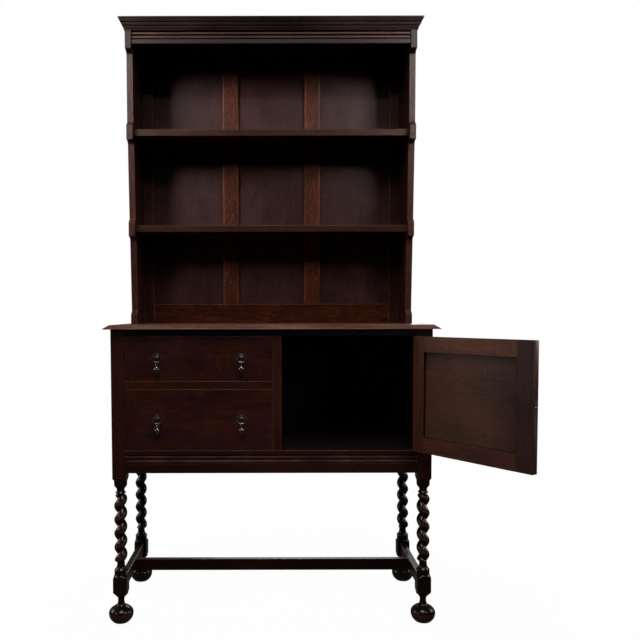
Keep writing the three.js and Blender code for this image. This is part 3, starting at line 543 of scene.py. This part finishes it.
# Lengths of moulding with run grooves: a section in Y and Z drawn along X. Heights from the floor,
# front back from the posts' face; a groove is its height on the board, half its width and its depth.
mouldings = {
    "rail_bottom": {"low": 461.5, "height": 68.5, "front": 0, "thickness": 22, "arrises": (1.0, 1.0),
                    "halfLength": 438, "look": "lowRail", "shift": 0.9,
                    "grooves": ((30.8, 2.6, 4.0), (42.9, 3.4, 5.0), (53.6, 2.4, 4.0))},
    "rack_frieze": {"low": 1789.5, "height": 40, "front": 173, "thickness": 15, "arrises": (1.2, 0),
                    "halfLength": 440, "look": "frieze", "shift": 0.2,
                    "grooves": ((15.3, 2.4, 4.0), (26.2, 3.2, 5.0), (36.6, 2.2, 4.0))},
}
mouldingFaces = {"grooveSteps": 6, "smoothBelow": 30, "crestUpTo": 9, "frontWithin": 0.2}


def groovedSection(values):
    front, low = values["front"], values["low"]
    back, top = front + values["thickness"], low + values["height"]
    lowArris, topArris = values["arrises"]
    points = [(front + lowArris, low), (front, low + lowArris)]
    for centre, half, depth in values["grooves"]:
        for step in range(mouldingFaces["grooveSteps"] + 1):
            angle = math.pi * step / mouldingFaces["grooveSteps"]
            points.append((front + depth * math.sin(angle), low + (centre - half * math.cos(angle))))
    points.append((front, top - topArris))
    if topArris:
        points.append((front + topArris, top))
    return [(back, low), (back, top)] + points[::-1]


for node, values in mouldings.items():
    section = groovedSection(values)
    vertices = [place(x, y, z) for x in (-values["halfLength"], values["halfLength"]) for y, z in section]
    piece = newPiece(node + "_moulded", vertices, ringFaces(2, len(section)),
                     oakMaterial(values["look"], "x", 0, values["shift"]), "case", "oak",
                     mouldingFaces["smoothBelow"])
    frontEnd = place(0, values["front"] + mouldingFaces["frontWithin"], 0).y
    rubbed = []
    for polygon in piece.data.polygons:  # narrow faces at the front are the crests and quirk edges
        corners = [piece.data.vertices[i].co for i in polygon.vertices]
        height = max(v.z for v in corners) - min(v.z for v in corners)
        atFront = min(v.y for v in corners) <= frontEnd
        rubbed.append(1.0 if atFront and height < mouldingFaces["crestUpTo"] * mm else 0.0)
    markWearAndSheen(piece, "FACE", rubbed)
    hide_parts(node)

# Cornice: raking board with run grooves, mitred round the two front corners
cornice = {"low": 1829.5, "height": 38, "halfWidth": 460, "front": 169, "back": 387,
           "sideReach": 18.5, "frontReach": 14.5, "grainShift": 1.5, "smoothBelow": 30}
corniceProfile = [(0, 0.02), (0.01, 0.11), (0.055, 0.13), (0.07, -0.02), (0.1, -0.08), (0.13, 0), (0.145, 0.16),
                  (0.21, 0.22), (0.28, 0.29), (0.295, 0.19), (0.33, 0.12), (0.365, 0.2), (0.385, 0.41),
                  (0.47, 0.49), (0.55, 0.56), (0.565, 0.46), (0.6, 0.41), (0.635, 0.49), (0.655, 0.7),
                  (0.75, 0.79), (0.85, 0.92), (0.865, 0.85), (0.89, 0.83), (0.91, 1), (0.985, 1), (1, 0.96)]


def addCornice():
    vertices = []
    for up, out in corniceProfile:
        half = cornice["halfWidth"] + out * cornice["sideReach"]
        front = cornice["front"] - out * cornice["frontReach"]
        z = cornice["low"] + up * cornice["height"]
        vertices += [place(-half, front, z), place(half, front, z), place(half, cornice["back"], z),
                     place(-half, cornice["back"], z)]
    piece = newPiece("rack_cornice_moulded", vertices, ringFaces(len(corniceProfile), 4),
                     oakMaterial("cornice", "x", 0, cornice["grainShift"]), "case", "oak",
                     cornice["smoothBelow"])
    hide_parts("rack_cornice")


addCornice()
print("mouldings run")


# Rack sides: one board each, with the front edge shaped
rackSide = {
    "inner": 440, "thickness": 20, "back": 387, "low": 907, "arris": 1.0, "foot": (169, 28),
    "headAbove": 1765, "waistAbove": 17, "waistBelow": 24, "sweepAbove": 18, "sweepBelow": 13,
    "sweepSteps": 10, "hollow": 2.4, "joinWithin": 0.05, "leftShift": 0.8, "rightShift": 1.7,
    # depth of the bump, its lower and upper ends above the table top
    "tiers": ((191, 283, 325), (211, 586.5, 628.5), (218, 867.5, 922.5)),
}


def sideOutline():
    depth, height = rackSide["foot"]
    outline = [(depth, 0)]
    shares = [step / rackSide["sweepSteps"] for step in range(rackSide["sweepSteps"] + 1)]
    waist, under = rackSide["waistAbove"], rackSide["waistBelow"]
    for bump, low, high in rackSide["tiers"]:
        for share in shares:  # ogee: round over, then hollow, back to the waist
            fall = (1 - math.cos(math.pi * share)) / 2
            outline.append((depth - waist * fall, height + rackSide["sweepAbove"] * share))
        for share in shares:  # hollow below the bump, ending in a sharp edge
            rise = 1 - math.sqrt(max(0.0, 1 - share ** rackSide["hollow"]))
            outline.append((bump - under + under * rise, low - rackSide["sweepBelow"] * (1 - share)))
        depth, height = bump, high
    outline += [(depth, height), (0, height), (0, 0)]
    cleaned = []
    for point in outline:
        if not cleaned or math.dist(point, cleaned[-1]) > rackSide["joinWithin"]:
            cleaned.append(point)
    return [(rackSide["back"] - forward, rackSide["low"] + up) for forward, up in cleaned][::-1]


def addRackSide(name, x0, x1, shift):
    section = sideOutline()
    vertices = [place(x, y, z) for x in (x0, x1) for y, z in section]
    # the rack side's edges take the side look, with its painted light and its painted shade toward the top
    piece = newPiece(name + "_shaped", vertices, ringFaces(2, len(section)),
                     oakMaterial("side", "z", 0, shift), "case", "oak")
    softenMesh(piece.data, rackSide["arris"])

    def choose(face):  # the broad faces show the ray figure, and the head matches the frieze
        if abs(face.normal.x) > facingSquarely:
            return 1
        return 2 if face.center.z > rackSide["headAbove"] * mm else 0

    chooseMaterials(piece, [oakMaterial("sideFace", "z", 0, shift), oakMaterial("frieze", "z", 0, shift)], choose)
    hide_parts(name)


rackOuter = rackSide["inner"] + rackSide["thickness"]
addRackSide("rack_side_left", -rackOuter, -rackSide["inner"], rackSide["leftShift"])
addRackSide("rack_side_right", rackSide["inner"], rackOuter, rackSide["rightShift"])

# Muntins of the rack's back: a small ovolo worked along both edges
muntin = {"fromMiddle": 140, "half": 28, "low": 973, "high": 1829.5, "front": 366, "back": 380, "bead": 7,
          "depth": 6, "lip": 0.8, "ovolo": 5, "quirk": 1, "ovoloSteps": 6, "smoothBelow": 30,
          "leftShift": 1.2, "rightShift": 2.1}


def addMuntin(name, x, shift):
    edge, sunk = -muntin["half"], muntin["front"] + muntin["quirk"]
    outline = [(edge, muntin["back"]), (edge, muntin["front"] + muntin["depth"])]
    for step in range(muntin["ovoloSteps"] + 1):
        angle = math.pi / 2 * step / muntin["ovoloSteps"]
        outline.append((edge + muntin["lip"] + muntin["ovolo"] * (1 - math.cos(angle)),
                        sunk + muntin["ovolo"] * (1 - math.sin(angle))))
    outline += [(edge + muntin["bead"], sunk), (edge + muntin["bead"], muntin["front"])]
    outline += [(-across, y) for across, y in outline[::-1]]
    vertices = [place(x + across, y, z) for z in (muntin["low"], muntin["high"]) for across, y in outline]
    piece = newPiece(name + "_worked", vertices, ringFaces(2, len(outline)), oakMaterial("muntin", "z", 0, shift),
                     "case", "oak", muntin["smoothBelow"])
    piece.data.flip_normals()  # the outline runs clockwise from above
    # the beads' faces take the light colour: partly rubbed, partly a painted highlight along the edges
    across = [abs(polygon.center.x - place(x, 0, 0).x) / mm for polygon in piece.data.polygons]
    beadFrom = muntin["half"] - muntin["bead"]
    markWearAndSheen(piece, "FACE", [1.0 if beadFrom < distance < muntin["half"] else 0.0 for distance in across])
    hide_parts(name)


addMuntin("rack_muntin_left", -muntin["fromMiddle"], muntin["leftShift"])
addMuntin("rack_muntin_right", muntin["fromMiddle"], muntin["rightShift"])
print("rack shaped")


# Pear drop handles, in mm. The drop's pivot is measured down and out from the middle of the plate.
handle = {
    "inset": 95, "lift": 2.5, "seat": 0.3, "smoothBelow": 35,
    "plateWidth": 36.5, "plateHeight": 32, "plateThickness": 1.6, "lobes": 6, "lobeDepth": 0.1, "plateSides": 72,
    "bossRadius": 8, "bossHeight": 4.5, "bossSteps": 9, "pivotLow": 13, "pivotOut": 10.5,
    "pinRadius": 1.3, "pinProud": 0.4, "pinEase": 0.4, "pinSides": 20,
    "lugWidth": 11.5, "lugRadius": 2.6, "lugRoot": 0.6, "lugTop": 1.9, "lugNeck": (2, 1.2), "lugSteps": 14,
    "eyeWidth": 6, "eyeRadius": 3.2, "eyeEase": (0.3, 0.5), "eyeSides": 28,
    "dropLength": 38, "dropWidth": 17.5, "dropDepth": 0.74, "dropSides": 32,
}
# share of the half width, share of the thickness, how far the scallops show
plateProfile = [(1, 0, 1), (1, 0.5, 1), (0.97, 1, 1), (0.92, 1, 1), (0.87, 0.55, 1), (0.8, 0.4, 0.9),
                (0.7, 0.5, 0.6), (0.62, 0.9, 0.3), (0.57, 1, 0.1), (0.5, 0.8, 0)]
# share of the way down, share of the half width
pearProfile = [(0.03, 0.3), (0.08, 0.4), (0.13, 0.5), (0.17, 0.52), (0.21, 0.46), (0.25, 0.38), (0.28, 0.44),
               (0.33, 0.68), (0.39, 0.86), (0.46, 0.97), (0.53, 1), (0.61, 0.97), (0.7, 0.84), (0.78, 0.66),
               (0.85, 0.48), (0.9, 0.36), (0.93, 0.34), (0.96, 0.32), (0.985, 0.22), (1, 0.04)]


def circle(sides):
    return [2 * math.pi * i / sides for i in range(sides)]


def joinMeshes(name, parts, material, body):
    # parts is a list of (vertices, faces); each is a closed shell of one piece of metal
    vertices, faces = [], []
    for points, polygons in parts:
        start = len(vertices)
        vertices += points
        faces += [tuple(start + i for i in polygon) for polygon in polygons]
    return newPiece(name, vertices, faces, material, body, "brass", handle["smoothBelow"])


def platePart():
    # scalloped rim, a raised ring inside it and a domed boss; rings from the back to the crown
    half, tall, thick = handle["plateWidth"] / 2, handle["plateHeight"] / 2, handle["plateThickness"]
    rows = [(out, thick * share, lobed) for out, share, lobed in plateProfile]
    for step in range(handle["bossSteps"]):
        angle = math.pi / 2 * step / handle["bossSteps"]
        rows.append((handle["bossRadius"] / half * math.cos(angle), thick + handle["bossHeight"] * math.sin(angle), 0))
    points = []
    for out, forward, lobed in rows:
        for angle in circle(handle["plateSides"]):
            swell = 1 - handle["lobeDepth"] * lobed * abs(math.sin(handle["lobes"] * angle / 2))
            points.append((half * out * swell * math.cos(angle), -forward, tall * out * swell * math.sin(angle)))
    return points, ringFaces(len(rows), handle["plateSides"])


def lugPart(x0, x1):
    # one ear, from the plate out to a round end about the pin
    out, low, radius = handle["pivotOut"], handle["pivotLow"], handle["lugRadius"]
    neckOut, neckUp = handle["lugNeck"]
    outline = [(-handle["lugRoot"], -low + radius * handle["lugTop"]), (-handle["lugRoot"], -low - radius)]
    for step in range(handle["lugSteps"] + 1):
        angle = math.pi * step / handle["lugSteps"]
        outline.append((-out - radius * math.sin(angle), -low - radius * math.cos(angle)))
    outline.append((-handle["plateThickness"] - neckOut, -low + radius * neckUp))
    return [(x, y, z) for x in (x0, x1) for y, z in outline], ringFaces(2, len(outline))


def pinPart():
    # through both ears and a little past them
    radius, ease, end = handle["pinRadius"], handle["pinEase"], handle["lugWidth"] / 2 + handle["pinProud"]
    rows = [(-end, radius - ease), (-end + ease, radius), (end - ease, radius), (end, radius - ease)]
    points = [(x, -handle["pivotOut"] + r * math.cos(angle), -handle["pivotLow"] + r * math.sin(angle))
              for x, r in rows for angle in circle(handle["pinSides"])]
    return points, ringFaces(len(rows), handle["pinSides"])


def dropPart():
    points = []
    start, half = handle["pinRadius"] + 2 * handle["seat"], handle["dropWidth"] / 2
    for down, out in pearProfile[::-1]:
        z = -start - down * (handle["dropLength"] - start)
        points += [(half * out * math.cos(angle), half * handle["dropDepth"] * out * math.sin(angle), z)
                   for angle in circle(handle["dropSides"])]
    return points, ringFaces(len(pearProfile), handle["dropSides"])


def eyePart():
    # ring about the pin, its section a rounded square
    sides, width = handle["eyeSides"], handle["eyeWidth"] / 2
    inner, outer = handle["pinRadius"] + handle["seat"], handle["eyeRadius"]
    inEase, outEase = handle["eyeEase"]
    loop = [(-width, inner + inEase), (-width, outer - outEase), (-width + outEase, outer),
            (width - outEase, outer), (width, outer - outEase), (width, inner + inEase),
            (width - inEase, inner), (-width + inEase, inner)]
    points = [(x, r * math.cos(angle), r * math.sin(angle)) for angle in circle(sides) for x, r in loop]
    count = len(loop)
    faces = []
    for i in range(sides):
        for k in range(count):
            a, b = i * count + k, i * count + (k + 1) % count
            c, d = ((i + 1) % sides) * count + (k + 1) % count, ((i + 1) % sides) * count + k
            faces.append((a, d, c, b))
    return points, faces


def addHandle(name, body, origin, turn):
    spin = Matrix.Rotation(math.radians(turn), 4, "Z")

    def placed(part, dx, dy, dz):
        points, faces = part
        return [origin + spin @ (Vector((x + dx, y + dy, z + dz)) * mm) for x, y, z in points], faces

    seat = handle["seat"]
    halfLug, halfSlot = handle["lugWidth"] / 2, handle["eyeWidth"] / 2 + seat
    parts = [platePart(), lugPart(-halfLug, -halfSlot), lugPart(halfSlot, halfLug), pinPart()]
    plate = joinMeshes(name + "_plate_cast", [placed(part, 0, -seat, 0) for part in parts],
                       brassMaterial("backing"), body)
    fixNormals(plate)
    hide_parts(name + "_plate")
    pivot = (0, -handle["pivotOut"] - seat, -handle["pivotLow"])
    pear, eye = placed(dropPart(), *pivot), placed(eyePart(), *pivot)
    drop = joinMeshes(name + "_drop_cast", [pear, eye], brassMaterial("pull"), name + "_drop")
    # fingers polish the pear but not its eye
    chooseMaterials(drop, [brassMaterial("backing")], lambda face: 0 if face.index < len(pear[1]) else 1)
    fixNormals(drop)
    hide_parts(name + "_drop")


for drawer in ("drawer_upper", "drawer_lower"):
    low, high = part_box(drawer + "_front")
    middle = (low.z + high.z) / 2 + handle["lift"] * mm
    for sideName, x in (("left", low.x + handle["inset"] * mm), ("right", high.x - handle["inset"] * mm)):
        addHandle(f"{drawer}_handle_{sideName}", drawer, Vector((x, low.y, middle)), 0)

doorHandleAt = doorPoint(door["handleInset"] - door["width"], door["front"], 0)
doorLow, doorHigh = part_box("door_stile_lock")
doorHandleAt.z = (doorLow.z + doorHigh.z) / 2 + handle["lift"] * mm
addHandle("door_handle", "door", doorHandleAt, door["turn"])
print("handles hung")

# Hinges keep their solids
for node in ("hinge_lower_post_leaf", "hinge_upper_post_leaf", "hinge_lower_door_leaf", "hinge_upper_door_leaf"):
    frame["nodes"][node].data.materials.clear()
    frame["nodes"][node].data.materials.append(brassMaterial("hinge"))

# Catch: a plate let into the door's free edge, with a ball standing a little out of it
catch = {"behindPin": 13.2, "middle": 702, "width": 12, "height": 42, "thickness": 1, "corner": 1.5,
         "ball": 2.6, "out": 1.3, "ballRings": 7, "ballSides": 20, "smoothBelow": 30}


def addCatch():
    # the ball's dome, as rings about the edge's normal, and then the plate behind it
    points = []
    for step in range(catch["ballRings"]):
        angle = math.pi / 2 * step / catch["ballRings"]
        reach = catch["ball"] * math.cos(angle)
        points += [(-catch["out"] * math.sin(angle), reach * math.cos(around), reach * math.sin(around))
                   for around in circle(catch["ballSides"])]
    dome = ringFaces(catch["ballRings"], catch["ballSides"])
    half, tall, corner, start = catch["width"] / 2, catch["height"] / 2, catch["corner"], len(points)
    outline = [(-half + corner, -tall), (half - corner, -tall), (half, -tall + corner), (half, tall - corner),
               (half - corner, tall), (-half + corner, tall), (-half, tall - corner), (-half, -tall + corner)]
    points += [(x, y, z) for x in (catch["thickness"], 0) for y, z in outline]
    faces = dome + [tuple(start + i for i in face) for face in ringFaces(2, len(outline))]
    vertices = [doorPoint(x - door["width"], catch["behindPin"] + y, catch["middle"] + z) for x, y, z in points]
    piece = newPiece("door_catch_ball", vertices, faces, brassMaterial("plate"), "door", slotOf["door_catch"],
                     catch["smoothBelow"])
    chooseMaterials(piece, [brassMaterial("ball")], lambda face: 1 if face.index < len(dome) else 0)
    fixNormals(piece)
    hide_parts("door_catch")


addCatch()
print("hinges and catch finished")


# Floor and backdrop: lengths in metres, strengths as shares of white
studio = {
    "floorRadius": 1.6, "floorRings": (0.2, 0.5, 0.8, 1.0), "floorSides": 96, "floorFade": (0.45, 0.95),
    "floorColour": "#9b9894", "floorGlow": 0.985, "mottleColour": "#d8d8d4", "mottleScale": 9,
    "mottleRange": (0.3, 0.7), "mottleShare": 0.05,
    "backdrop": "#ffffff", "backdropEdge": (-0.1, 0.25), "fillColour": "#dcd3cf", "fill": 0.024,
    "mirroredFloor": 0.08, "mirroredBackdrop": 0.14, "mirroredRoom": 0.008,
}
softboxes = [
    # name, place in case coordinates, width and height in metres, power, what it is turned to, spread of its grid
    ("softbox_left", (-1260, -940, 2230), (0.5, 0.7), 3.5, (-430, 373, 1710), 36),
    ("softbox_right", (1130, -940, 2230), (0.5, 0.7), 2.4, (410, 373, 1710), 36),
    ("overhead", (0, -1300, 2700), (1.4, 1.2), 6.9, (0, 0, 600), 60),
    ("strip", (100, -1394, 2630), (1.0, 0.04), 5.8, (0, 200, 1300), 180),
    ("spot_left", (-1550, -1090, 1080), (0.22, 0.3), 0.6, (-200, 0, 300), 56),
    ("spot_right", (1000, -800, 1100), (0.22, 0.3), 0.8, (0, 0, 350), 60),
    ("rim_left", (-2200, 500, 450), (0.2, 0.8), 0.1, (-459, 366, 300), 16),
    ("door_fill", (-900, -1500, 700), (0.5, 0.5), 0.06, (550, -165, 650), 39),
    ("side_left", (-2900, 500, 1500), (1.2, 1.2), 11, (-480, 250, 900), 100),
    ("side_right", (2900, 500, 1500), (1.2, 1.2), 11, (480, 250, 900), 100),
    ("behind", (300, 3000, 1900), (1.5, 1.2), 16, (0, 387, 900), 100),
]
# fitted to the photograph: the focal length and the picture's middle are in pixels of its width
camera = {"at": (0, -2150, 942), "focalPixels": 723, "pitch": 3.0, "roll": 0.0019, "middle": (271.6, 350.89),
          "pixels": 640, "sensor": 36}


def lightPathSeen(tree):
    # rays that show the backdrop: straight from the camera, mirrored, or passed through a clear thing
    seen = addNode(tree, "LightPath", out="Is Camera Ray")
    for kind in ("Is Glossy Ray", "Is Transmission Ray"):
        seen = addNode(tree, "Math", {"operation": "MAXIMUM"}, {0: seen, 1: addNode(tree, "LightPath", out=kind)})
    return seen


def addFloor():
    sides, rings, reach = studio["floorSides"], studio["floorRings"], studio["floorRadius"]
    centre = (cadBounds[0] + cadBounds[1]) / 2
    vertices = [(centre.x, centre.y, 0)]
    for share in rings:
        vertices += [(centre.x + reach * share * math.cos(angle), centre.y + reach * share * math.sin(angle), 0)
                     for angle in circle(sides)]
    faces = [(0, 1 + i, 1 + (i + 1) % sides) for i in range(sides)]
    for row in range(len(rings) - 1):
        for i in range(sides):
            a, b = 1 + row * sides + i, 1 + row * sides + (i + 1) % sides
            faces.append((a, a + sides, b + sides, b))
    mesh = bpy.data.meshes.new("studio_floor")
    mesh.from_pydata(vertices, [], faces)
    floor = bpy.data.objects.new("studio_floor", mesh)
    bpy.context.scene.collection.objects.link(floor)
    material, tree = newMaterial("painted_studio_floor")
    where = addNode(tree, "NewGeometry", out="Position")
    middle = addNode(tree, "VectorMath", {"operation": "DISTANCE", 1: (centre.x, centre.y, 0)}, {0: where}, "Value")
    rim = addNode(tree, "MapRange", pair(1, [reach * share for share in studio["floorFade"]]), {0: middle})
    mottle = addNode(tree, "TexNoise", {"Scale": studio["mottleScale"], "Detail": 4}, {"Vector": where})
    uneven = addNode(tree, "MapRange", {**pair(1, studio["mottleRange"]), 4: studio["mottleShare"]}, {0: mottle})
    colours = [hexColour(studio[key]) for key in ("floorColour", "mottleColour")]
    tint = addNode(tree, "Mix", {"data_type": "RGBA", **pair(6, colours)}, {0: uneven}, 2)
    paint = addNode(tree, "BsdfDiffuse", {}, {"Color": tint})
    # evenly white to the camera; mirrored rays see it dimmer, as it lies in the piece's own shadow
    toCamera = addNode(tree, "LightPath", out="Is Camera Ray")
    strength = addNode(tree, "MapRange", {3: studio["mirroredFloor"], 4: 1.0}, {0: toCamera})
    glow = addNode(tree, "Emission", {"Color": hexColour(studio["backdrop"])}, {"Strength": strength})
    whiteness = addNode(tree, "MapRange", {3: studio["floorGlow"], 4: 1.0}, {0: rim})
    glowing = addNode(tree, "MapRange", {3: 1.0}, {0: toCamera, 4: whiteness})
    shown = addNode(tree, "Math", {"operation": "MULTIPLY"}, {0: lightPathSeen(tree), 1: glowing})
    mixed = addNode(tree, "MixShader", {}, {0: shown, 1: paint, 2: glow})
    addNode(tree, "OutputMaterial", {}, {"Surface": mixed})
    mesh.materials.append(material)


def addWorld():
    world = bpy.data.worlds.new("studio")
    bpy.context.scene.world = world
    world.use_nodes = True
    tree = world.node_tree
    tree.nodes.clear()
    glow = {}
    for part, colour, strength in (
            ("fill", studio["fillColour"], studio["fill"]), ("backdrop", studio["backdrop"], 1.0),
            ("room", studio["backdrop"], studio["mirroredRoom"]),
            ("sheet", studio["backdrop"], studio["mirroredBackdrop"])):
        glow[part] = addNode(tree, "Background", {"Color": hexColour(colour), "Strength": strength})
    # mirrored rays see the white sheet behind the piece and the dim room before it
    around = addNode(tree, "TexCoord", out="Generated")
    toward = addNode(tree, "SeparateXYZ", {}, {0: around}, "Y")
    behind = addNode(tree, "MapRange", pair(1, studio["backdropEdge"]), {0: toward})
    mirrored = addNode(tree, "MixShader", {}, {0: behind, 1: glow["room"], 2: glow["sheet"]})
    toCamera = addNode(tree, "LightPath", out="Is Camera Ray")
    shown = addNode(tree, "MixShader", {}, {0: toCamera, 1: mirrored, 2: glow["backdrop"]})
    out = addNode(tree, "MixShader", {}, {0: lightPathSeen(tree), 1: glow["fill"], 2: shown})
    addNode(tree, "OutputWorld", {}, {"Surface": out})


def addLamps():
    for name, at, size, power, toward, spread in softboxes:
        lamp = bpy.data.lights.new(name, "AREA")
        lamp.shape = "RECTANGLE"
        lamp.size, lamp.size_y = size
        lamp.energy = power
        lamp.spread = math.radians(spread)
        lampObject = bpy.data.objects.new(name, lamp)
        lampObject.location = place(*at)
        lampObject.rotation_euler = (place(*toward) - place(*at)).to_track_quat("-Z", "Y").to_euler()
        bpy.context.scene.collection.objects.link(lampObject)


def addCamera():
    data = bpy.data.cameras.new("camera")
    pixels, (middleX, middleY) = camera["pixels"], camera["middle"]
    data.sensor_width = camera["sensor"]
    data.lens = camera["focalPixels"] / pixels * camera["sensor"]
    data.shift_x = (pixels / 2 - middleX) / pixels
    data.shift_y = (middleY - pixels / 2) / pixels
    cameraObject = bpy.data.objects.new("camera", data)
    cameraObject.location = place(*camera["at"])
    tilt = Matrix.Rotation(math.pi / 2 - math.radians(camera["pitch"]), 4, "X")
    cameraObject.rotation_euler = (tilt @ Matrix.Rotation(-camera["roll"], 4, "Z")).to_euler()
    bpy.context.scene.collection.objects.link(cameraObject)
    bpy.context.scene.camera = cameraObject


addFloor()
addWorld()
addLamps()
addCamera()
bpy.context.scene.view_settings.view_transform = "Standard"
print("studio set")
